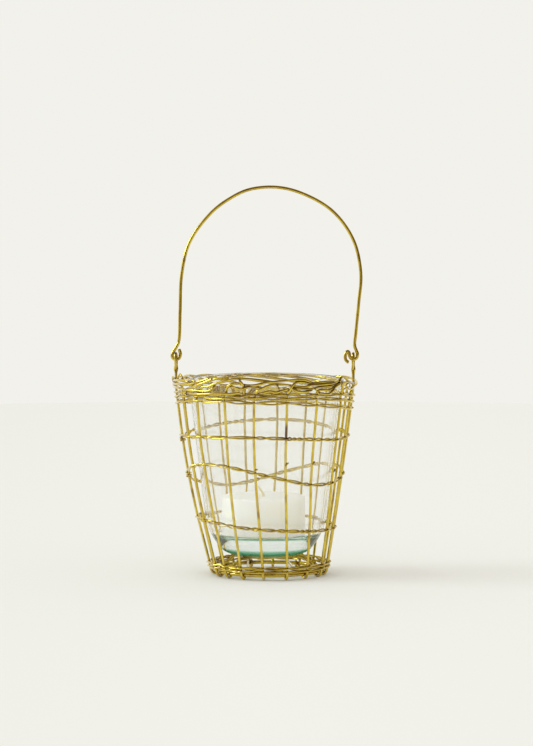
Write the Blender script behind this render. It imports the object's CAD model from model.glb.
"""Looks of the wire candle holder: brass wires swept along their own paths, a tumbler and a candle."""
import math

import bpy
import numpy as np
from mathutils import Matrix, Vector
from mathutils.kdtree import KDTree

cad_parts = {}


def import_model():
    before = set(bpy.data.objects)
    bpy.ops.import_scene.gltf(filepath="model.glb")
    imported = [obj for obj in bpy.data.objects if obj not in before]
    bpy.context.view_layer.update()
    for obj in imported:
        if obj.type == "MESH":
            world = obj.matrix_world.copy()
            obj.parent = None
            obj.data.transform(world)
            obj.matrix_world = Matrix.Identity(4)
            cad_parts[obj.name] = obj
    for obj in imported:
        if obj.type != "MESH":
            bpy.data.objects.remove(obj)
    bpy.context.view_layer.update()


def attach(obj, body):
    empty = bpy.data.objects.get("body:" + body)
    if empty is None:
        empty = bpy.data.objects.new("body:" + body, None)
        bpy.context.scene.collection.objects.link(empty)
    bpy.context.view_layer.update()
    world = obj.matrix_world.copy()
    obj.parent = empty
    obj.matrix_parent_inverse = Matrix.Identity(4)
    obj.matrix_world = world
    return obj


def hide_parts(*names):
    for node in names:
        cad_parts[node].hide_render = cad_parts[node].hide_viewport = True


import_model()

# Sizes in millimetres, the same as the part's own unless a comment says otherwise. The wall leans to the
# left up to LEAN_Z, and BULGE is the share by which it swells between the base ring and the rim
RING_R, RIM_R, RIM_Z, UPRIGHTS, LEAN, LEAN_Z, BULGE = 33.0, 54.0, 115.0, 18, 2.8, 80.0, 0.085
STAKE_D, WEAVER_D, RING_D, BAIL_D, EASE = 1.6, 0.9, 2.4, 2.0, 0.15
SWELL, RIM_RISE, CLIMB, REACH = 3.0, 3.3, 5.8, 3.35
HINGE_Z, BAIL_H, EYE_PLAY, EYE_TOP = 131.5, 104.9, 0.3, 3.8
STAKE_R, WEAVER_R, BAIL_R = STAKE_D / 2, WEAVER_D / 2, BAIL_D / 2
HOOK_R = (RING_D / 2 + STAKE_R + EASE) / math.cos(math.radians(22.5))
RING_Z = HOOK_R + STAKE_R
BASE_R = RING_R + HOOK_R
WEAVE_R = STAKE_R + WEAVER_R + EASE
# The strands of a row are a little fuller than the solids' own, with less room left between them
STRAND_D, STRAND_EASE = 1.1, 0.02
TIGHT = (WEAVER_D + EASE) / 2
TIGHT_H = 2 * (TIGHT + WEAVER_R) + EASE
BASE_ROW_Z = RING_Z + RING_D / 2 + TIGHT_H / 2
ROW_1_Z, ROW_2_Z, ROW_3_Z = RIM_Z - 27.8, RIM_Z - 52.8, RIM_Z - 82.8
CLOSE_Z, CLOSE_STEP = RIM_Z - 4.0, 3.2
BORDER_R = 2 * STAKE_R + 2.6 * EASE
BEND_R = 1.6 * STAKE_D
BEND_LOW = 1.4 * BEND_R
CROSS_AT = 2.5
EAR_SUNK, EAR_SPLIT, SLOT_END, EYE_TURN, SHANK_TURN = 1, 2.5, 5.0, 8, 40
FLOOR_PAST = 0.2
FLOOR_WIRE_Z = RING_Z + RING_D / 2 + STAKE_R + EASE / 2
GLASS_Z = 12.7
REST_LIFT = GLASS_Z - EASE / 2 - STAKE_R - FLOOR_WIRE_Z
# Height of each stub above the middle row at its upright, and the way it runs across, out and up
STUBS = {4: 2.0, 5: 10.3, 6: 13.4, 7: 7.6}
STUB_SHAPE = [(0, 1.1, -0.8), (0.5, 1.1, -0.2), (1.1, 0.9, 0.4), (1.3, 0.4, 0.6)]
# What chance decides: how far stakes are kinked and rows sag, how far strands part, how half turns slant
KINK, SAG, PARTED, SLANT = 0.22, 0.14, (0.3, 1.0), 0.22
# Each upright's turn away from even spacing in degrees, from the left ear round the front, and what its
# foot adds
SET_OFF = [0, 4, 0, 3, 3, 5, 6, 10, 6, 0, 0, 0, -1, 1, 4.5, 5, 3, 0]
FOOT_OFF = [0, 2.4, 2.6, -1, 1.2, 3, 4.6, 3.2, 4, 0, 0, 0, -1.4, 5, 5.6, 3, 1, 1]
# Waves round the wall: one front, one right, two front, two right, and the back alone
RIM_WAVE = (RIM_RISE, -0.17 * SWELL, 0, 0, 0)
TILT = -0.23 * SWELL
CLOSE_WAVES = [(RIM_RISE, -0.27 * SWELL + k * TILT, 0.2 * SWELL, 0, 0) for k in range(3)]
ROW_1_WAVE = (-0.33 * SWELL, 0, 0.63 * SWELL, -0.2 * SWELL, 0)
ROW_2_WAVE = (SWELL, 0, 0, -2 * SWELL, -1.5 * SWELL)
ROW_3_WAVE = (-0.2 * SWELL, -SWELL, 0, 0, 0)
FLAT = (0, 0, 0, 0, 0)

# A cut end's rounding by its wire's diameter, and texture lengths a millimetre of wire
CUT_ROUND, UV_SCALE = 0.12, 0.01
HALF_TURN_POINTS = 14
STAKE_SIDES, STRAND_SIDES, LOOSE_SIDES, BAIL_SIDES, RING_SIDES = 14, 10, 12, 18, 16

rng = np.random.default_rng(11)
scene = bpy.context.scene
wires = []


def smooth(t):
    s = np.clip(t, 0, 1)
    return s * s * (3 - 2 * s)


def cosd(a):
    return np.cos(np.radians(a))


def sind(a):
    return np.sin(np.radians(a))


def carries_ear(i):
    return i % UPRIGHTS in (0, UPRIGHTS // 2)


def upright_angle(i, z):
    k = i % UPRIGHTS
    turn = 0 if carries_ear(k) else SET_OFF[k] + FOOT_OFF[k] * (1 - smooth(z / LEAN_Z))
    return -90 + 360 * i / UPRIGHTS + turn


def angle_at(u, z):
    i = math.floor(u)
    a = upright_angle(i, z)
    return a + (u - i) * (upright_angle(i + 1, z) - a)


def wave(w, a):
    return (w[0] * cosd(a) + w[1] * sind(a) + w[2] * cosd(2 * a) + w[3] * sind(2 * a)
            + w[4] * max(-cosd(a), 0) ** 2)


def wall_r(z):
    u = min(max((z - RING_Z) / (RIM_Z - RING_Z), 0), 1)
    return BASE_R + (RIM_R - BASE_R) * (u + BULGE * math.sin(math.pi * u))


def lean_at(z):
    return -LEAN * (1 - (1 - min(max(z / LEAN_Z, 0), 1)) ** 1.5)


def rim_at(a):
    return RIM_Z + wave(RIM_WAVE, a)


def place(r, a, z):
    return np.array([lean_at(z) + r * sind(a), -r * cosd(a), z])


def outward(a):
    return np.array([sind(a), -cosd(a), 0])


def onward(a):
    return np.array([cosd(a), sind(a), 0])


def unit(v):
    return v / np.linalg.norm(v)


def curve(points, step=0.45):
    """Points close together on a smooth curve through the given ones."""
    p = np.array(points, float)
    keep = [0] + [i for i in range(1, len(p)) if np.linalg.norm(p[i] - p[i - 1]) > 1e-6]
    p = p[keep]
    p = np.vstack([2 * p[0] - p[1], p, 2 * p[-1] - p[-2]])
    out = []
    for i in range(1, len(p) - 2):
        a, b, c, d = p[i - 1:i + 3]
        t0, t1 = 0.0, math.sqrt(np.linalg.norm(b - a))
        t2 = t1 + math.sqrt(np.linalg.norm(c - b))
        t3 = t2 + math.sqrt(np.linalg.norm(d - c))
        n = max(1, int(round(np.linalg.norm(c - b) / step)))
        for t in np.linspace(t1, t2, n, endpoint=False):
            ab = a + (b - a) * (t - t0) / (t1 - t0)
            bc = b + (c - b) * (t - t1) / (t2 - t1)
            cd = c + (d - c) * (t - t2) / (t3 - t2)
            abc = ab + (bc - ab) * (t - t0) / (t2 - t0)
            bcd = bc + (cd - bc) * (t - t1) / (t3 - t1)
            out.append(abc + (bcd - abc) * (t - t1) / (t2 - t1))
    out.append(p[-2])
    return np.array(out)


def directions(p, closed, first):
    """The direction of a path at each point and two directions across it that don't twist."""
    if closed:
        t = np.roll(p, -1, 0) - np.roll(p, 1, 0)
    else:
        t = np.gradient(p, axis=0)
    t /= np.linalg.norm(t, axis=1)[:, None]
    normal = np.zeros_like(p)
    v = np.array(first, float)
    for i in range(len(p)):
        v = unit(v - (v @ t[i]) * t[i])
        normal[i] = v
    side = np.cross(t, normal)
    if closed:
        gap = math.atan2(normal[0] @ side[-1], normal[0] @ normal[-1])
        turn = gap * np.arange(len(p)) / len(p)
        normal, side = (normal * np.cos(turn)[:, None] + side * np.sin(turn)[:, None],
                        side * np.cos(turn)[:, None] - normal * np.sin(turn)[:, None])
    return t, normal, side


def wire_uv(mesh, centres, sides, closed):
    """Texture places for the drawing lines: along the wire and round it."""
    length = np.concatenate([[0], np.cumsum(np.linalg.norm(np.diff(centres, axis=0), axis=1))])
    if closed:
        length = np.append(length, length[-1] + np.linalg.norm(centres[0] - centres[-1]))
    span = len(length) - 1
    around = np.arange(sides)[None, :]
    places = np.zeros((span, sides, 4, 2))
    places[:, :, 0, 0] = places[:, :, 1, 0] = length[:-1, None]
    places[:, :, 2, 0] = places[:, :, 3, 0] = length[1:, None]
    places[:, :, 0, 1] = places[:, :, 3, 1] = around / sides
    places[:, :, 1, 1] = places[:, :, 2, 1] = (around + 1) / sides
    places = places.reshape(-1, 2)
    if not closed:
        places = np.vstack([places, np.zeros((sides, 2)), np.full((sides, 2), length[-1])])
    layer = mesh.uv_layers.new(name="wire")
    layer.data.foreach_set("uv", (places * (UV_SCALE, 1)).astype(np.float32).ravel())


def new_object(name, mesh):
    mesh.shade_smooth()
    obj = bpy.data.objects.new(name, mesh)
    scene.collection.objects.link(obj)
    return obj


def tube(name, path, d, sides, body="basket", closed=False, first=(0, 0, 1), replaces=()):
    """A round wire along a path of close points, with slightly rounded cut ends."""
    centres = np.array(path, float)
    along, normal, side = directions(centres, closed, first)
    radii = np.full(len(centres), d / 2)
    if not closed:
        cap = d * CUT_ROUND
        centres = np.vstack([centres[0], centres[0] + along[0] * cap, centres[1:-1],
                             centres[-1] - along[-1] * cap, centres[-1]])
        normal, side = (np.vstack([v[:1], v, v[-1:]]) for v in (normal, side))
        radii = np.concatenate([[d / 2 - cap], radii, [d / 2 - cap]])
    m = len(centres)
    angle = 2 * math.pi * np.arange(sides) / sides
    co = (centres[:, None] + radii[:, None, None] * (np.cos(angle)[None, :, None] * normal[:, None]
          + np.sin(angle)[None, :, None] * side[:, None]))
    co = co.reshape(-1, 3)
    i = np.arange(m if closed else m - 1)[:, None]
    k = np.arange(sides)[None, :]
    j, l = (i + 1) % m, (k + 1) % sides
    quads = np.stack([i * sides + k, i * sides + l, j * sides + l, j * sides + k], -1).reshape(-1, 4)
    faces = quads.tolist()
    if not closed:
        faces += [list(range(sides - 1, -1, -1)), [(m - 1) * sides + q for q in range(sides)]]
    mesh = bpy.data.meshes.new(name)
    mesh.from_pydata((co * 0.001).tolist(), [], faces)
    wire_uv(mesh, centres, sides, closed)
    obj = new_object(name, mesh)
    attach(obj, body)
    for node in replaces:
        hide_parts(node)
    wires.append({"obj": obj, "axis": centres, "r": d / 2, "sides": sides, "co": co})
    return obj


# Picture to millimetres: a pixel's size at the basket's axis, how many such pixels the camera stands
# off, the picture's row at eye level, the eye's height in pixels, and the column of one place across
PIXEL, CAMERA_OFF, EYE_ROW, EYE_HIGH, KNOWN_COLUMN, KNOWN_X = 0.61, 4600, -12, 585.6, 270.3, 0.6
FIRST_GUESS = 85.0
# Border: where the ends of the front and left uprights run, and short ends that stick out of it, as
# columns and rows of the picture picked by hand, and millimetres outward from the uprights' middle
FRONT_ENDS = {
    1: [(184.5, 392, 1), (186, 389, 1.4), (188.5, 387, 1.8), (194.1, 385.7, 2.6), (199.4, 383, 2.6),
        (205.6, 380.7, 2.4), (212.1, 377.9, 2.2)],
    2: [(199.3, 391, 0.6), (199.6, 387.9, 1.2), (202, 385.9, 1.7), (208.2, 385.2, 1.6), (214.4, 382.6, 1.6),
        (218.6, 381.6, 1.6), (225, 379.9, 1.6), (231.5, 378.2, 1.4), (239.1, 377.3, 1.2), (246.8, 377.6, 1),
        (258.3, 378.8, 0.8), (265.9, 379.7, 0.6), (271.5, 380.5, 0.2)],
    3: [(226.2, 391.5, 0.4), (226.2, 388.7, 1), (227.3, 386.4, 1.5), (229.6, 383.9, 1.8), (233, 382.4, 1.8),
        (237.2, 382.2, 1.2), (241.5, 383.2, 0.6), (247.5, 384.2, 0.8), (254.4, 384, 1.6), (262.1, 382.5, 2),
        (269, 381.1, 2), (277.7, 380.3, 1.8), (289.1, 379.3, 1.6), (298, 378.7, 1.4), (303.7, 378.6, 1.4),
        (308.3, 379.9, 1.6), (312, 381.6, 1.2), (316, 383.4, -0.4)],
    4: [(254.3, 396, 0.3), (255.8, 392.6, 1), (257, 390.4, 1.6), (260.6, 388, 2.2), (264, 386.3, 2),
        (267.8, 384.8, 1.6), (273.6, 383.4, 1.2), (281, 383.3, 1.2), (289, 384, 0.8), (297, 385.3, 0.8),
        (304.4, 385.6, 1.6), (312, 384.1, 2), (320, 383.4, 2), (331, 382.4, 2), (337.3, 380, 1.2),
        (339.4, 377.6, 0.2)],
    5: [(286.5, 397, 0.2), (287.2, 393.6, 0.8), (288.6, 391, 1.5), (290, 388.6, 2), (291.6, 385.8, 2.4),
        (293.9, 383, 2.4), (296.4, 381.5, 2), (300, 381, 1.4), (304.4, 381.2, 1.2), (309, 382.2, 1.2),
        (315, 381.8, 1.6), (321.4, 380.9, 1.6), (327.8, 380.3, 1.6), (333.3, 380.4, 1.6)],
    6: [(315.9, 397, 0.2), (316, 392.4, 0.8), (317.5, 389.8, 1.4), (321, 388.6, 1.7), (327.8, 388.8, 1.8),
        (332.9, 387, 1.9), (337.3, 384.1, 1.8), (340.5, 382, 1.6), (346, 381.2, 1.6), (352.6, 381.6, 0.6)],
    7: [(340.2, 399, 0.2), (341, 392, 0.5), (342.6, 386.5, 1.2), (341.4, 382.5, 1.6), (340, 379.8, 1.6),
        (340.6, 377, 1.4), (343.1, 375.6, 1.2), (345.6, 377.1, 1.4), (347.6, 379.3, 1.4), (350.4, 380.9, 1),
        (353, 383, -0.6)],
}
# How many uprights the left ones pass by rule, and then where they run
SIDE_ENDS = {
    15: (1.9, [(174, 378.9, 1.2), (178.5, 378.9, 1.8), (183.4, 379.2, 1.6), (187.5, 380.4, 1.2),
               (191, 382, 0.2), (194, 384.2, -0.8)]),
    16: (1.9, [(174.6, 381.9, 1.4), (180.3, 382.7, 2), (186.4, 383.4, 1.8), (191.8, 382.6, 1.4),
               (198.7, 380.4, 1), (205.2, 378.6, 0.8), (208.8, 377.2, 0.8)]),
    17: (0.6, [(174, 385, 1), (176.5, 385.9, 1.8), (180.3, 387, 2), (185.7, 388.5, 2.2),
               (190.5, 388.9, 1.8), (196, 389.2, 1.4), (201.4, 389.9, 1.6), (206, 390, 1.8),
               (209.5, 389.4, 1.8), (212.6, 387.4, 1.4), (214.4, 384.9, 0.6), (214.8, 382.6, -0.4)]),
}
LOOSE_ENDS = [
    (STAKE_D, [(220, 384.2, -0.6), (227, 384.3, -0.4), (233, 385.7, 0.8), (236.8, 386.9, 1.6),
               (241.4, 387.9, 1.8), (245.5, 386.8, 1.6), (250.6, 385.5, 1), (256, 385.6, -0.2),
               (262, 386.6, -1)]),
    (STAKE_D, [(211.5, 378.8, -0.8), (215, 377.8, -0.6), (221, 377.3, -0.6), (229, 376.9, -0.6)]),
    (STAKE_D, [(244.4, 394.3, -0.4), (243.8, 390, 0.4), (243.9, 386.6, 0.6), (242.4, 383, 1.8),
               (240.5, 380.7, 2.2), (238.8, 379.3, 2.2)]),
    (STAKE_D, [(189.5, 391.3, 1), (194, 392.7, 2), (201, 392.9, 2.2), (209, 392.5, 2.2), (218.6, 392.2, 2),
               (227.7, 392.6, 2), (235, 392.2, 2), (240.2, 391.4, 1.8)]),
    (STAKE_D, [(258.5, 392.6, 0.4), (263.5, 391.6, 1.4), (270, 390.1, 1.8), (275.7, 391.2, 1.8),
               (281.5, 389.6, 1.6), (289.1, 387.7, 1.2), (296.8, 387.3, 1.2), (304.4, 387.8, 1.6),
               (312.1, 387.4, 1.4), (319.8, 385.8, 1.4), (330, 384.7, 1.6), (335, 383.4, 0.8),
               (338.6, 380.8, 0.4)]),
    (STAKE_D, [(292, 385.6, -0.6), (294, 386.9, 1.2), (295.6, 389.4, 2), (298.7, 390.7, 2.2),
               (304.4, 390.7, 2.2), (308.6, 390.1, 2), (311.4, 388.4, 0.8), (313.4, 386.4, -0.6)]),
    (WEAVER_D, [(275.6, 382.6, 0.4), (277.2, 384.2, 1.6), (278.4, 386.5, 2), (278.9, 389, 2.2)]),
    (WEAVER_D, [(315.4, 388, 2.4), (317.2, 390.6, 2.6), (319.2, 393.6, 2.2)]),
    (STAKE_D, [(317.4, 389.4, 0.6), (318.9, 391.5, 1.6), (322, 392.3, 2), (328.2, 392.7, 2),
               (331, 391.2, 2.2), (334.3, 387.8, 2.4)]),
    (WEAVER_D, [(187.6, 377.3, 0.6), (191.3, 378.8, 1.4), (195.2, 380.6, 1.6)]),
    (WEAVER_D, [(178.3, 379, 0.8), (178.6, 375.5, 1.2), (180.3, 372.7, 1.4), (182.2, 375.5, 1.2),
                (183.2, 378.4, 0.8)]),
    (WEAVER_D, [(343, 391.6, 0.4), (343.4, 388.6, 1), (345.4, 386.9, 1.6), (347.2, 388.4, 1.2),
                (347.4, 391.6, 0.2)]),
    (WEAVER_D, [(346.6, 387.2, 0.8), (350, 388, 1.2), (353.6, 386.9, 0.6)]),
    (WEAVER_D, [(345.8, 384.6, 1.4), (347, 382.6, 1.8), (349.2, 382.7, 1.8), (349.9, 384.8, 1.6),
                (348.2, 386, 1.4), (346.4, 385, 1)]),
]
# The close rows: the upright where each starts, how far its strands part, and where the picture shows
# it pass uprights 0 to 8
CLOSE_ROWS = [
    ("rim_row_upper", 15, 0.25, [(177, 391.5), (183, 391.7), (199, 392.7), (226, 393.3), (254.5, 393.6),
                                 (287, 393.5), (316, 393.6), (340, 393.2), (351, 393)]),
    ("rim_row_middle", 12, 0.35, [(177, 395), (183, 395.3), (199, 396), (226, 396.6), (254.5, 397.4),
                                  (287, 397.4), (316, 397.6), (340, 397.8), (351, 398)]),
    ("rim_row_lower", 9, 0.35, [(177, 401.5), (183, 400.6), (199, 399.6), (226, 400.6), (254.5, 402),
                                (287, 402.2), (316, 403.9), (340, 405.4), (351, 405)]),
]


def from_picture(column, line, out):
    """Millimetres across and up, to a tenth, for a place on the front of the wall that the picture shows.

    A place looks larger the further forward it stands, and the wall's radius there says how far that is,
    so the two are worked out in turns from a first guess.
    """
    forward = FIRST_GUESS
    for _ in range(12):
        nearer = (CAMERA_OFF - forward) / CAMERA_OFF
        x = (column - KNOWN_COLUMN) * PIXEL * nearer + KNOWN_X
        z = PIXEL * (EYE_HIGH - (line - EYE_ROW) * nearer)
        r = wall_r(z) + out
        forward = math.sqrt(max(r * r - (x - lean_at(z)) ** 2, 0)) / PIXEL
    return round(x, 1), round(z, 1)


# Uprights
def hook_path(a):
    """Round under the base ring, from inside it to the foot of the wall."""
    return [place(RING_R + HOOK_R * cosd(h), a, RING_Z + HOOK_R * sind(h)) for h in range(-230, 1, 20)]


def crossing(i, z0, w):
    a = upright_angle(i, z0)
    z = z0 + wave(w, a)
    return place(wall_r(z), a, z)


def wall_path(i, top, kinks):
    """Up the wall through the places where the rows cross it, never quite straight."""
    marks = [crossing(i, BASE_ROW_Z, FLAT), crossing(i, ROW_3_Z, ROW_3_WAVE),
             crossing(i, ROW_2_Z, ROW_2_WAVE), crossing(i, ROW_1_Z, ROW_1_WAVE),
             crossing(i, CLOSE_Z - 2 * CLOSE_STEP, CLOSE_WAVES[2]), crossing(i, top, FLAT)]
    points = [marks[0]]
    for k in range(1, len(marks)):
        points.append(marks[k] + kinks[k] * onward(upright_angle(i, marks[k][2])))
        if k < len(marks) - 2:
            for share in (0.3, 0.7):
                z = marks[k][2] + share * (marks[k + 1][2] - marks[k][2])
                a = upright_angle(i, z)
                kink = kinks[k] + share * (kinks[k + 1] - kinks[k])
                points.append(place(wall_r(z), a, z) + kink * onward(a))
    return points


def end_out(t):
    """How far outside the uprights' middle a bent end runs where it has passed t uprights."""
    return BORDER_R * (smooth(t / 0.8) if t < 2 else cosd(180 * (min(t, 3) - 2)))


def end_up(t):
    """How high above the rim a bent end runs where it has passed t uprights."""
    return CLIMB * (1 - (1 - t / CROSS_AT) ** 1.4 if t < CROSS_AT else 1 - 0.4 * (t - CROSS_AT) ** 2)


def end_point(i, t):
    a = angle_at(i + t, RIM_Z)
    return place(wall_r(rim_at(a)) + end_out(t), a, rim_at(a) + end_up(t))


def in_front(route):
    """Places in millimetres for a route of picture points on the front of the wall."""
    points = []
    for column, line, out in route:
        x, z = from_picture(column, line, out)
        r, across = wall_r(z) + out, x - lean_at(z)
        points.append(np.array([x, -math.sqrt(max(r * r - across * across, 0)), z]))
    return points


def stake(i):
    a = upright_angle(i, RIM_Z)
    z = rim_at(a)
    kinks = rng.normal(0, KINK, 6)
    kinks[0] = kinks[-1] = 0
    points = hook_path(upright_angle(i, 0))
    if i in FRONT_ENDS:
        ends = in_front(FRONT_ENDS[i])
        points += wall_path(i, min(z - BEND_LOW, ends[0][2] - 1.5), kinks) + ends
    else:
        points += wall_path(i, z - BEND_LOW, kinks)
        for h in (0, 30, 60, 80):
            low = z - BEND_R * (1 - sind(h))
            points.append(place(wall_r(low), a, low) + BEND_R * (1 - cosd(h)) * onward(a))
        last, route = SIDE_ENDS.get(i, (REACH, []))
        points += [end_point(i, t) for t in list(np.arange(1 / 3, last - 0.1, 1 / 3)) + [last]]
        points += in_front(route)
    tube(f"stake_wire_{i}", curve(points), STAKE_D, STAKE_SIDES, first=-outward(a), replaces=[f"stake_{i}"])


def ear(side, name):
    """An upright that goes through the border, bends into an eye and comes back down beside itself."""
    i = 0 if side < 0 else UPRIGHTS // 2
    a = side * 90
    foot = rim_at(a) - EAR_SUNK
    pair, eye = STAKE_R + EASE / 2, BAIL_R + STAKE_R + EYE_PLAY
    eye_z, slot_z = HINGE_Z + EYE_TOP - eye, HINGE_Z - BAIL_R
    top = rim_at(a) + CLIMB + STAKE_D
    end = slot_z - SLOT_END / 2
    mid = (top + end) / 2

    def half(z):
        if z < slot_z - SLOT_END:
            return pair * smooth((z - foot) / EAR_SPLIT)
        return pair + (eye - pair) * smooth(1 - (slot_z - z) / SLOT_END)

    def turn(z):
        if z < mid:
            return SHANK_TURN * smooth((z - top) / (mid - top))
        return SHANK_TURN + (EYE_TURN - SHANK_TURN) * smooth((z - mid) / (end - mid))

    def point(h, z, b):
        return np.array([lean_at(z) + side * RIM_R + h * sind(b), h * cosd(b), z])

    shank = [foot + EAR_SPLIT + k * (slot_z - SLOT_END - foot - EAR_SPLIT) / 4 for k in range(4)]
    shank += [slot_z - SLOT_END * (1 - k / 5) for k in range(6)] + [eye_z]
    up = [point(-half(z), z, turn(z)) for z in shank]
    bend = [point(eye * cosd(b), eye_z + eye * sind(b), EYE_TURN) for b in (150, 120, 90, 60, 30)]
    down = [point(half(z), z, turn(z)) for z in reversed(shank)]
    points = hook_path(a) + wall_path(i, foot, np.zeros(6)) + up + bend + down
    tube(f"{name}_wire", curve(points), STAKE_D, STAKE_SIDES, first=-outward(a), replaces=[name])


# Twined rows
def row(name, start, z0, w, turns, lens=0.0, knot=0, line=()):
    """A folded pair of strands. turns gives the half turns in each bay, and line lifts the front."""
    lap = 1.6 * WEAVER_D if knot else 0
    snug = STRAND_D / 2 + STRAND_EASE
    bays = [turns[k % len(turns)] for k in range(UPRIGHTS)]
    sag = rng.normal(0, SAG, UPRIGHTS + 1)
    for k in range(UPRIGHTS + 1):
        if line and (start + k) % UPRIGHTS < len(line):
            sag[k] += line[(start + k) % UPRIGHTS]
    parted = rng.uniform(*PARTED, UPRIGHTS)
    skew = rng.uniform(-SLANT, SLANT, UPRIGHTS)

    def strand(half, end):
        points = []
        phase = 180.0 * half
        for k in range(UPRIGHTS):
            n = HALF_TURN_POINTS * bays[k]
            for s in range(n):
                t = s / n
                u = k + t
                if u > end:
                    return points
                a = angle_at(start + u, z0)
                z = z0 + wave(w, a) - lap * smooth((u - UPRIGHTS + 1.6) / 1.2)
                z += sag[k] + (sag[k + 1] - sag[k]) * smooth(t)
                near = abs(math.cos(math.pi * t)) ** 5
                r = snug + (WEAVE_R - snug) * near
                wide = snug + (WEAVE_R * 0.6 - snug) * near + lens * parted[k] * math.sin(math.pi * t) ** 2
                f = phase + 180 * bays[k] * (t + skew[k] * math.sin(math.pi * t) ** 2)
                points.append(place(wall_r(z), a, z) + r * cosd(f) * outward(a)
                              + wide * sind(f) * np.array([0, 0, 1.0]))
            phase += 180 * bays[k]
        return points

    a0 = upright_angle(start, z0)
    z = z0 + wave(w, a0) + sag[0]
    fold = [place(wall_r(z), a0, z) + WEAVE_R * (cosd(h) * outward(a0) - sind(h) * onward(a0))
            for h in (150, 120, 90, 60, 30)]
    outer = strand(0, UPRIGHTS - (0.3 if not knot else 0.05))
    inner = strand(1, UPRIGHTS - 0.12)[::-1]
    if knot:
        z = z0 + wave(w, a0) - lap + sag[-1]
        for h in np.arange(20, 360 * knot + 1, 20):
            low = z - (WEAVER_D + EASE) * h / 360
            outer.append(place(wall_r(low), a0, low)
                         + WEAVE_R * (cosd(h) * outward(a0) + sind(h) * onward(a0)))
    path = curve(inner + fold + outer, 0.5)
    tube(f"{name}_wire", path, STRAND_D, STRAND_SIDES, replaces=[name])


def lifts(points, z0, w):
    """How far a close row stands off its wave at the front uprights, as the picture shows it."""
    found = []
    for i, (column, line) in enumerate(points):
        found.append(round(from_picture(column, line, 0)[1] - z0 - wave(w, upright_angle(i, RIM_Z)), 1))
    return found


def floor_wire(name, start, end, lift):
    """A wire across the base ring between two places counted in uprights, raised in its middle."""
    p, q = (place(RING_R + FLOOR_PAST, angle_at(u, 0), 0) for u in (start, end))
    shape = [(0, 0), (0.05, 0), (0.2, 1), (0.35, 1), (0.65, 1), (0.8, 1), (0.95, 0), (1, 0)]
    points = [p + along * (q - p) + np.array([0, 0, FLOOR_WIRE_Z + raised * lift]) for along, raised in shape]
    tube(f"{name}_piece", curve(points), STAKE_D, STAKE_SIDES, replaces=[name])


def stub(i, height):
    """An end of wire that stands out of a stake above the middle row."""
    z = crossing(i, ROW_2_Z, ROW_2_WAVE)[2] + height
    a = upright_angle(i, z)
    stem = place(wall_r(z), a, z)
    points = [stem + across * onward(a) + out * outward(a) + np.array([0, 0, up])
              for across, out, up in STUB_SHAPE]
    tube(f"stub_{i}", curve(points, 0.3), WEAVER_D, STRAND_SIDES)


# Bail: its outline from the left ear over to the right one, as shares of its half width and height
BAIL = [(-0.97, 0.102), (-0.954, 0.272), (-0.935, 0.491), (-0.846, 0.679), (-0.608, 0.848), (-0.395, 0.933),
        (-0.18, 0.985), (0.115, 1), (0.399, 0.968), (0.759, 0.863), (0.996, 0.696), (1.082, 0.503),
        (1.057, 0.317), (1.026, 0.148)]
# Hooks, outward from the ear and above the hinge line, by the radius of the bail's wire
LEFT_END, LEFT_JOG = [(0.6, 6.3), (0, 4.8), (-0.3, 3.3)], [(1.9, 4.1), (0.2, 6.9)]
RIGHT_JOG = [(0.8, 8.4), (1.7, 5.6), (2.5, 3.5)]
CURL = [(-1.5, 0.7), (-2.35, 2.1), (-2.5, 3.6), (-3, 4.8), (-3.9, 4.7), (-4.7, 3.1), (-4.95, 1.1),
        (-4.5, -0.5), (-3.6, -1.4), (-2.7, -1.6)]


def bail():
    loop = BAIL_R + STAKE_R + EASE
    gap = loop + 0.45 * BAIL_R

    def on_ear(side, out, up):
        return np.array([-LEAN + side * (RIM_R + out), 0, HINGE_Z + up])

    def hook(side, end):
        return [(side * gap * cosd(h), loop * (1 - sind(h))) for h in range(0, end + 1, 15)]

    def by_wire(shape):
        return [(BAIL_R * out, BAIL_R * up) for out, up in shape]

    left = [(out - gap, up) for out, up in by_wire(LEFT_END)] + hook(-1, 180) + by_wire(LEFT_JOG)
    right = by_wire(RIGHT_JOG) + hook(1, 90) + by_wire(CURL)
    points = ([on_ear(-1, *p) for p in left]
              + [np.array([-LEAN + x * RIM_R, 0, HINGE_Z + z * BAIL_H]) for x, z in BAIL]
              + [on_ear(1, *p) for p in right])
    tube("bail_wire", curve(points), BAIL_D, BAIL_SIDES, body="handle", first=(0, 1, 0), replaces=["handle"])


def ring():
    points = [place(RING_R, a, RING_Z) for a in np.arange(0, 360, 2.0)]
    tube("base_ring_wire", points, RING_D, RING_SIDES, closed=True, replaces=["base_ring"])


ring()
for index in range(UPRIGHTS):
    if not carries_ear(index):
        stake(index)
ear(-1, "left_ear")
ear(1, "right_ear")
for index, (thickness, route) in enumerate(LOOSE_ENDS):
    tube(f"loose_end_{index + 1}", curve(in_front(route)), thickness, LOOSE_SIDES)
row("base_row_lower", 14, BASE_ROW_Z, FLAT, (1,))
row("base_row_upper", 2, BASE_ROW_Z + TIGHT_H, FLAT, (1,))
row("row_1", 0, ROW_1_Z, ROW_1_WAVE, (1, 1, 2, 1, 2, 4, 3, 1, 1, 2, 3, 2, 1, 2, 3, 2, 2, 1),
    lens=0.12, knot=2)
row("row_2", 0, ROW_2_Z, ROW_2_WAVE, (1, 2, 2, 2, 2, 2, 2, 1, 1, 2, 1, 2, 2, 3, 2, 1, 2, 1),
    lens=0.12, knot=1)
row("row_3", 17, ROW_3_Z, ROW_3_WAVE, (1, 1, 2, 2, 2, 2, 3, 2, 1, 1, 2, 2, 1, 2, 2, 3, 2, 2),
    lens=0.2, knot=2)
for index, (close_row, begin, lens, shown) in enumerate(CLOSE_ROWS):
    height, tilted = CLOSE_Z - index * CLOSE_STEP, CLOSE_WAVES[index]
    row(close_row, begin, height, tilted, (1,), lens=lens, line=lifts(shown, height, tilted))
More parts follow.
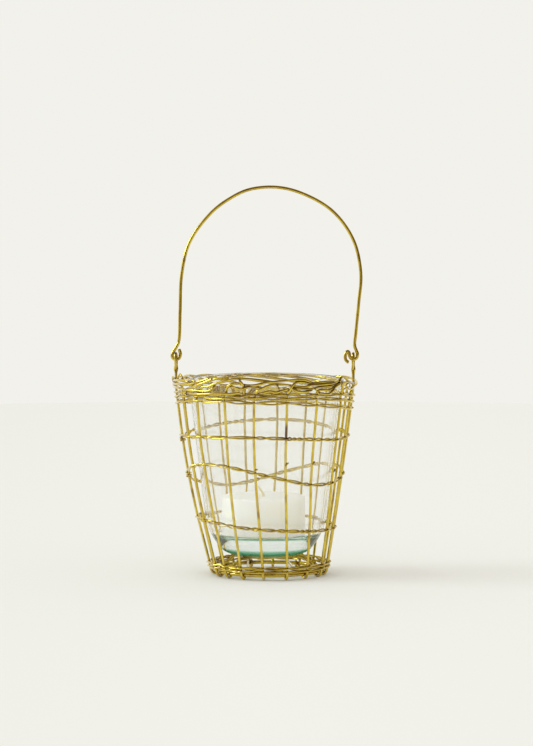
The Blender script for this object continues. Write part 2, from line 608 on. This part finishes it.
floor_wire("floor_wire_left", 3.25, 14.2, 0)
floor_wire("floor_wire_right", 5.5, 12.5, 0)
floor_wire("rest_wire_front", 1.5, 7.5, REST_LIFT)
floor_wire("rest_wire_back", 16.5, 10.5, REST_LIFT)
bail()
for index, height in STUBS.items():
    stub(index, height)


# Dirt and shade where wires lie close together, kept on the meshes as an attribute
def paint_crevices():
    reach, touching, fades = 2.2, 0.05, 0.6
    total = sum(len(w["axis"]) for w in wires)
    tree = KDTree(total)
    owner, radius, where = np.zeros(total, int), np.zeros(total), np.zeros((total, 3))
    k = 0
    for n, w in enumerate(wires):
        for q, p in enumerate(w["axis"]):
            tree.insert(p, k)
            owner[k], radius[k], where[k] = n, w["r"], p
            k += 1
    tree.balance()
    for n, w in enumerate(wires):
        co = w["co"].reshape(len(w["axis"]), w["sides"], 3)
        shade = np.zeros(co.shape[:2])
        for q, p in enumerate(w["axis"]):
            near = np.array([i for _, i, _ in tree.find_range(p, w["r"] + reach)], int)
            other = near[(owner[near] != n) | (np.linalg.norm(where[near] - p, axis=1) > w["r"] * 2.4)]
            if not len(other):
                continue
            away = np.linalg.norm(co[q][:, None] - where[other][None], axis=2) - radius[other][None]
            closest = away.min(axis=1)
            shade[q] = 1 - smooth((closest - touching) / fades)
        attribute = w["obj"].data.attributes.new("crevice", "FLOAT", "POINT")
        attribute.data.foreach_set("value", shade.ravel().astype(np.float32))


paint_crevices()


# Materials
SCORCHED, SCORCH_UP = 5, 4.0


def nodes_of(name):
    material = bpy.data.materials.new(name)
    material.use_nodes = True
    tree = material.node_tree
    return material, tree, tree.nodes["Principled BSDF"]


def link(tree, a, b):
    tree.links.new(a, b)


def add(tree, kind, values=None):
    """A new shader node with some of its inputs set."""
    node = tree.nodes.new("ShaderNode" + kind)
    fill(node, values or {})
    return node


def fill(node, values):
    for name, value in values.items():
        node.inputs[name].default_value = value


def ramp(tree, source, stops):
    node = add(tree, "ValToRGB")
    while len(node.color_ramp.elements) < len(stops):
        node.color_ramp.elements.new(0.5)
    for element, (at, colour) in zip(node.color_ramp.elements, stops):
        element.position = at
        element.color = (*colour, 1)
    link(tree, source, node.inputs["Fac"])
    return node.outputs["Color"]


def noise(tree, vector, scale, detail):
    node = add(tree, "TexNoise", {"Scale": scale, "Detail": detail})
    link(tree, vector, node.inputs["Vector"])
    return node.outputs["Fac"]


def spread(tree, source, start, end, low=0.0, high=1.0):
    """A value that goes from low to high while the source goes from start to end."""
    node = add(tree, "MapRange", {"From Min": start, "From Max": end, "To Min": low, "To Max": high})
    link(tree, source, node.inputs["Value"])
    return node.outputs["Result"]


def join(tree, operation, a, b):
    node = add(tree, "Math")
    node.operation = operation
    link(tree, a, node.inputs[0])
    link(tree, b, node.inputs[1])
    return node.outputs["Value"]


def roughen(tree, height, strength, distance, shader):
    bump = add(tree, "Bump", {"Strength": strength, "Distance": distance})
    link(tree, height, bump.inputs["Height"])
    link(tree, bump.outputs["Normal"], shader.inputs["Normal"])


def object_place(tree):
    return add(tree, "TexCoord").outputs["Object"]


def axes_of(tree, vector):
    split = add(tree, "SeparateXYZ")
    link(tree, vector, split.inputs["Vector"])
    return split.outputs


def blend(tree, kind, factor, a, colour):
    mix = add(tree, "Mix")
    mix.data_type = "RGBA"
    mix.blend_type = kind
    mix.inputs["B"].default_value = (*colour, 1)
    link(tree, factor, mix.inputs["Factor"])
    link(tree, a, mix.inputs["A"])
    return mix.outputs["Result"]


def darken(tree, colour, factor, tint):
    return blend(tree, "MULTIPLY", factor, colour, tint)


def brass_material():
    """Lacquered brass wire with drawing lines along it, tarnish in patches and dirt in the crevices."""
    material, tree, shader = nodes_of("brass")
    fill(shader, {"Metallic": 1, "Specular Tint": (1.0, 0.97, 0.8, 1),
                  "Coat Weight": 0.9, "Coat Roughness": 0.12, "Coat IOR": 1.7})
    uv = add(tree, "UVMap")
    uv.uv_map = "wire"
    stretch = add(tree, "Mapping", {"Scale": (2.2, 9, 1)})
    link(tree, uv.outputs["UV"], stretch.inputs["Vector"])
    drawn = noise(tree, stretch.outputs["Vector"], 5, 4)
    where = object_place(tree)
    tone = ramp(tree, noise(tree, where, 160, 3),
                [(0.3, (0.56, 0.38, 0.005)), (0.55, (0.68, 0.5, 0.02)), (0.75, (0.8, 0.63, 0.08))])
    tarnish = spread(tree, noise(tree, where, 90, 2), 0.62, 0.74)
    tone = darken(tree, tone, tarnish, (0.5, 0.4, 0.3))
    # One stake is scorched just above the upper row
    scorched = crossing(SCORCHED, ROW_1_Z, ROW_1_WAVE) + np.array([0, 0, SCORCH_UP])
    away = add(tree, "VectorMath")
    away.operation = "DISTANCE"
    away.inputs[1].default_value = tuple(scorched * 0.001)
    link(tree, where, away.inputs[0])
    scorch = spread(tree, away.outputs["Value"], 0.0062, 0.0035)
    tone = darken(tree, tone, scorch, (0.16, 0.09, 0.03))
    crevice = add(tree, "Attribute")
    crevice.attribute_name = "crevice"
    tone = darken(tree, tone, crevice.outputs["Fac"], (0.2, 0.1, 0.012))
    link(tree, tone, shader.inputs["Base Color"])
    link(tree, spread(tree, drawn, 0, 1, 0.14, 0.32), shader.inputs["Roughness"])
    roughen(tree, drawn, 0.15, 0.0001, shader)
    return material


brass = brass_material()
for w in wires:
    w["obj"].data.materials.append(brass)


# Pieces turned on a lathe, and the places of an arc in their outlines
def lathe(name, profile, x, segments, replaces, wobble, seed=3):
    """A turned solid about a line through x, with a slight unevenness."""
    chance = np.random.default_rng(seed)
    lobes = [(k, chance.normal(0, wobble / k), chance.uniform(0, 2 * math.pi)) for k in (2, 3, 4, 5)]
    verts, faces = [], []
    inner = [p for p in profile if p[0] > 1e-6]
    for r, z in inner:
        for s in range(segments):
            a = 2 * math.pi * s / segments
            rr = r * (1 + sum(g * math.cos(k * a + f + z * 0.03) for k, g, f in lobes) / 40)
            verts.append((x + rr * math.sin(a), -rr * math.cos(a), z))
    m = len(inner)
    for i in range(m - 1):
        for s in range(segments):
            q = (s + 1) % segments
            faces.append((i * segments + s, i * segments + q, (i + 1) * segments + q, (i + 1) * segments + s))
    for at, ring_index, flip in ((profile[0], 0, True), (profile[-1], m - 1, False)):
        verts.append((x, 0, at[1]))
        c = len(verts) - 1
        for s in range(segments):
            q = (s + 1) % segments
            tri = (c, ring_index * segments + s, ring_index * segments + q)
            faces.append(tri[::-1] if flip else tri)
    mesh = bpy.data.meshes.new(name)
    mesh.from_pydata([tuple(c * 0.001 for c in v) for v in verts], [], faces)
    obj = new_object(name, mesh)
    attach(obj, "basket")
    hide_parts(replaces)
    return obj


def arc(cx, cz, r, start, end, steps):
    return [(cx + r * cosd(a), cz + r * sind(a)) for a in np.linspace(start, end, steps + 1)]


# Glass and candle: the part works their radii out from the rim, the base ring and the glass's floor
GLASS_X, CANDLE_X, GLASS_H, WALL, FLOOR = -1.9, -3.5, 107.0, 2.2, 12.0
GLASS_R, FOOT_R, BELLY_R, BELLY_H, CORNER_R, WELL_R = 47.55, 34.2, 40.0, 25.0, 12.0, 3.2
CANDLE_R, CANDLE_H, CANDLE_EDGE, CANDLE_ROUND, DISH = 25.34, 23.5, 0.8, 1.2, 0.5
# The candle stands a hair off the glass, so that the two surfaces don't coincide
CLEAR_OF_GLASS = 0.05
WICK_SUNK, WICK_LENGTH, WICK_BEND, PLY_R, PLY_OFF, PLY_TURNS = 2, 7.6, 4.2, 0.42, 0.36, 2.2
SLOPE = (GLASS_R - FOOT_R) / GLASS_H


def glass_line(z):
    return FOOT_R + SLOPE * (z - GLASS_Z)


def glass():
    tilt = math.degrees(math.atan(SLOPE))
    top = GLASS_Z + GLASS_H - WALL / 2
    floor = GLASS_Z + FLOOR
    belly_x = FOOT_R + SLOPE * BELLY_H - BELLY_R * cosd(tilt)
    belly_z = GLASS_Z + BELLY_H + BELLY_R * sind(tilt)
    corner_z = GLASS_Z + CORNER_R
    corner_x = belly_x + math.sqrt((BELLY_R - CORNER_R) ** 2 - (belly_z - corner_z) ** 2)
    corner = math.degrees(math.atan2(belly_z - corner_z, corner_x - belly_x))
    inner = BELLY_R - WALL
    low = math.degrees(math.asin((belly_z - floor - WELL_R) / inner))
    well_x = belly_x + inner * cosd(low) - WELL_R
    outer = [(0, GLASS_Z), (corner_x * 0.5, GLASS_Z)] + arc(corner_x, corner_z, CORNER_R, -90, -corner, 18)
    outer += arc(belly_x, belly_z, BELLY_R, -corner, -tilt, 22)[1:]
    start = outer[-1][1]
    outer += [(glass_line(z), z) for z in np.linspace(start, top, 16)[1:-1]]
    lip = arc(glass_line(top) - WALL / 2, top, WALL / 2, 0, 180, 14)
    inside = [(glass_line(z) - WALL, z) for z in np.linspace(top, start, 16)[1:]]
    inside += arc(belly_x, belly_z, inner, -tilt, -low, 16)[1:]
    well = arc(well_x, floor + WELL_R, WELL_R, -15, -90, 10)
    obj = lathe("tumbler", outer + lip + inside + well + [(well_x * 0.5, floor), (0, floor)], GLASS_X, 160,
                "glass", 0.12)
    obj.data.materials.append(glass_material())


def glass_material():
    """Clear glass with a green foot, under a faint film, that lets the room's light through it."""
    material, tree, shader = nodes_of("glass")
    tree.nodes.remove(shader)
    out = tree.nodes["Material Output"]
    clear = add(tree, "BsdfGlass", {"IOR": 1.5, "Roughness": 0.0})
    where = object_place(tree)
    green = (0.22, 0.5, 0.34)
    tint = ramp(tree, spread(tree, axes_of(tree, where)["Z"], 0.0128, 0.0188),
                [(0.0, (0.86, 0.94, 0.9)), (0.05, green), (0.55, green), (0.8, (0.97, 0.985, 0.965)),
                 (1.0, (0.995, 0.995, 0.992))])
    link(tree, tint, clear.inputs["Color"])
    roughen(tree, noise(tree, where, 60, 2), 0.02, 0.0002, clear)
    through = add(tree, "BsdfTransparent", {"Color": (0.985, 0.987, 0.985, 1)})
    path = add(tree, "LightPath").outputs
    soft = join(tree, "MAXIMUM", path["Is Shadow Ray"], path["Is Diffuse Ray"])
    # A ray that has been thrown about inside the thick foot leaves it at last
    tired = add(tree, "Math")
    tired.operation = "GREATER_THAN"
    tired.inputs[1].default_value = 5.5
    link(tree, path["Ray Depth"], tired.inputs[0])
    haze = add(tree, "BsdfDiffuse", {"Color": (0.95, 0.94, 0.9, 1)})
    film = add(tree, "MixShader", {"Fac": 0.03})
    link(tree, clear.outputs["BSDF"], film.inputs[1])
    link(tree, haze.outputs["BSDF"], film.inputs[2])
    mix = add(tree, "MixShader")
    link(tree, join(tree, "MAXIMUM", soft, tired.outputs["Value"]), mix.inputs["Fac"])
    link(tree, film.outputs["Shader"], mix.inputs[1])
    link(tree, through.outputs["BSDF"], mix.inputs[2])
    link(tree, mix.outputs["Shader"], out.inputs["Surface"])
    depth = add(tree, "VolumeAbsorption", {"Color": (0.3, 0.72, 0.58, 1), "Density": 3})
    link(tree, depth.outputs["Volume"], out.inputs["Volume"])
    return material


def candle():
    floor = GLASS_Z + FLOOR + CLEAR_OF_GLASS
    top = GLASS_Z + FLOOR + CANDLE_H
    r = CANDLE_R
    profile = ([(0, floor)] + [(r - CANDLE_EDGE, floor), (r, floor + CANDLE_EDGE)]
               + [(r, z) for z in np.linspace(floor + 2, top - 2, 8)]
               + arc(r - CANDLE_ROUND, top - CANDLE_ROUND, CANDLE_ROUND, 0, 90, 8)
               + [(r * s, top - DISH * (1 - s)) for s in (0.85, 0.6, 0.35, 0.15, 0.06)] + [(0, top - DISH)])
    obj = lathe("candle_wax", profile, CANDLE_X, 128, "candle", 0.1, 5)
    material, tree, shader = nodes_of("wax")
    mottle = noise(tree, object_place(tree), 45, 4)
    colour = ramp(tree, mottle, [(0.3, (0.96, 0.92, 0.82)), (0.7, (0.98, 0.955, 0.885))])
    link(tree, colour, shader.inputs["Base Color"])
    fill(shader, {"Roughness": 0.5, "Subsurface Weight": 1, "Subsurface Radius": (1.0, 0.85, 0.6),
                  "Subsurface Scale": 0.03})
    roughen(tree, mottle, 0.2, 0.0004, shader)
    obj.data.materials.append(material)
    return top


def wick(top):
    """Three plied threads, bent over to the left."""
    verts, faces = [], []
    sides, steps = 8, 40
    for k in range(3):
        base = len(verts)
        for s in range(steps + 1):
            t = s / steps
            z = top - WICK_SUNK + WICK_LENGTH * t
            lean = WICK_BEND * max(0.0, t - 0.2) ** 1.5
            f = 2 * math.pi * (k / 3 + PLY_TURNS * t)
            x, y = CANDLE_X - lean + PLY_OFF * math.cos(f), PLY_OFF * math.sin(f)
            for q in range(sides):
                a = 2 * math.pi * q / sides
                verts.append(((x + PLY_R * math.cos(a)) * 0.001, (y + PLY_R * math.sin(a)) * 0.001,
                              z * 0.001))
        for s in range(steps):
            for q in range(sides):
                w = (q + 1) % sides
                faces.append((base + s * sides + q, base + s * sides + w,
                              base + (s + 1) * sides + w, base + (s + 1) * sides + q))
        faces.append(tuple(base + q for q in range(sides))[::-1])
        faces.append(tuple(base + steps * sides + q for q in range(sides)))
    mesh = bpy.data.meshes.new("wick_cord")
    mesh.from_pydata(verts, [], faces)
    obj = new_object("wick_cord", mesh)
    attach(obj, "basket")
    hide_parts("wick")
    material, tree, shader = nodes_of("wick")
    colour = ramp(tree, noise(tree, object_place(tree), 2500, 2),
                  [(0.3, (0.8, 0.7, 0.4)), (0.7, (0.9, 0.83, 0.6))])
    link(tree, colour, shader.inputs["Base Color"])
    fill(shader, {"Roughness": 0.7})
    obj.data.materials.append(material)


glass()
wick(candle())


# Stage: a round pale floor, the world round it, and one broad light from the left
FLOOR_R = 1.18
# The picture's height and the camera's focal length, both in pixels, where it stands, and how far it dips
PICTURE_H, FOCAL = 746, 4622
CAMERA_AT, CAMERA_DIP = (-0.0017, -2.806, 0.3572), 4.768


def ground():
    segments = 96
    turns = [2 * math.pi * s / segments for s in range(segments)]
    verts = [(0, 0, 0)] + [(FLOOR_R * math.sin(t), FLOOR_R * math.cos(t), 0) for t in turns]
    faces = [(0, 1 + (s + 1) % segments, 1 + s) for s in range(segments)]
    mesh = bpy.data.meshes.new("floor")
    mesh.from_pydata(verts, [], faces)
    obj = bpy.data.objects.new("floor", mesh)
    scene.collection.objects.link(obj)
    material, tree, shader = nodes_of("floor")
    across = spread(tree, axes_of(tree, object_place(tree))["X"], -FLOOR_R, FLOOR_R)
    colour = ramp(tree, across,
                  [(0.0, (0.68, 0.675, 0.65)), (0.5, (0.85, 0.845, 0.815)), (1.0, (0.86, 0.85, 0.82))])
    link(tree, colour, shader.inputs["Base Color"])
    fill(shader, {"Roughness": 0.9, "Specular IOR Level": 0.1})
    mesh.materials.append(material)


def world():
    """A pale room, a little less so on the right. Wires see it dark in front, above and on the right."""
    studio = bpy.data.worlds.new("studio")
    studio.use_nodes = True
    scene.world = studio
    tree = studio.node_tree
    axes = axes_of(tree, add(tree, "TexCoord").outputs["Generated"])
    path = add(tree, "LightPath").outputs
    glossy, passing = path["Is Glossy Ray"], path["Is Transmission Ray"]
    side = ramp(tree, spread(tree, axes["X"], -1, 1),
                [(0.0, (1.0, 0.97, 0.88)), (0.5, (0.95, 0.91, 0.82)), (1.0, (0.85, 0.79, 0.68))])
    above = spread(tree, axes["Z"], 0.25, 0.8)
    gloss = join(tree, "SUBTRACT", glossy, passing)
    dim = join(tree, "MAXIMUM", join(tree, "MAXIMUM", spread(tree, axes["Y"], 0.3, -1), above),
               spread(tree, axes["X"], 0.1, 0.9))
    walls = darken(tree, side, join(tree, "MULTIPLY", dim, gloss), (0.13, 0.075, 0.012))
    room = blend(tree, "MIX", join(tree, "SUBTRACT", above, gloss), walls, (0.93, 0.93, 0.9))
    behind = join(tree, "MULTIPLY", glossy, spread(tree, axes["Y"], 0.2, 0.9))
    seen = join(tree, "MAXIMUM", join(tree, "MAXIMUM", path["Is Camera Ray"], passing), behind)
    backdrop = blend(tree, "MIX", seen, room, (0.888, 0.88, 0.832))
    link(tree, backdrop, tree.nodes["Background"].inputs["Color"])
    fill(tree.nodes["Background"], {"Strength": 1})


def light():
    key = bpy.data.lights.new("key", "AREA")
    key.shape = "RECTANGLE"
    key.size, key.size_y = 1.9, 1.9
    key.energy = 112
    key.color = (0.8, 0.92, 1.0)
    lamp = bpy.data.objects.new("key", key)
    lamp.location = (-4.75, 0.0, 2.0)
    lamp.rotation_euler = (Vector((0, 0, 0.08)) - lamp.location).to_track_quat("-Z", "Y").to_euler()
    scene.collection.objects.link(lamp)
    # The clear glass takes no glare from the lamp
    unlit = bpy.data.collections.new("unlit")
    unlit.objects.link(bpy.data.objects["tumbler"])
    lamp.light_linking.receiver_collection = unlit
    unlit.collection_objects[0].light_linking.link_state = "EXCLUDE"


def camera():
    view = bpy.data.cameras.new("camera")
    obj = bpy.data.objects.new("camera", view)
    view.sensor_width = 36
    view.lens = FOCAL / PICTURE_H * view.sensor_width
    view.clip_start, view.clip_end = 0.1, 50
    obj.location = CAMERA_AT
    obj.rotation_euler = (math.radians(90 - CAMERA_DIP), 0, 0)
    scene.collection.objects.link(obj)
    scene.camera = obj


ground()
world()
light()
camera()
scene.view_settings.view_transform = "Standard"
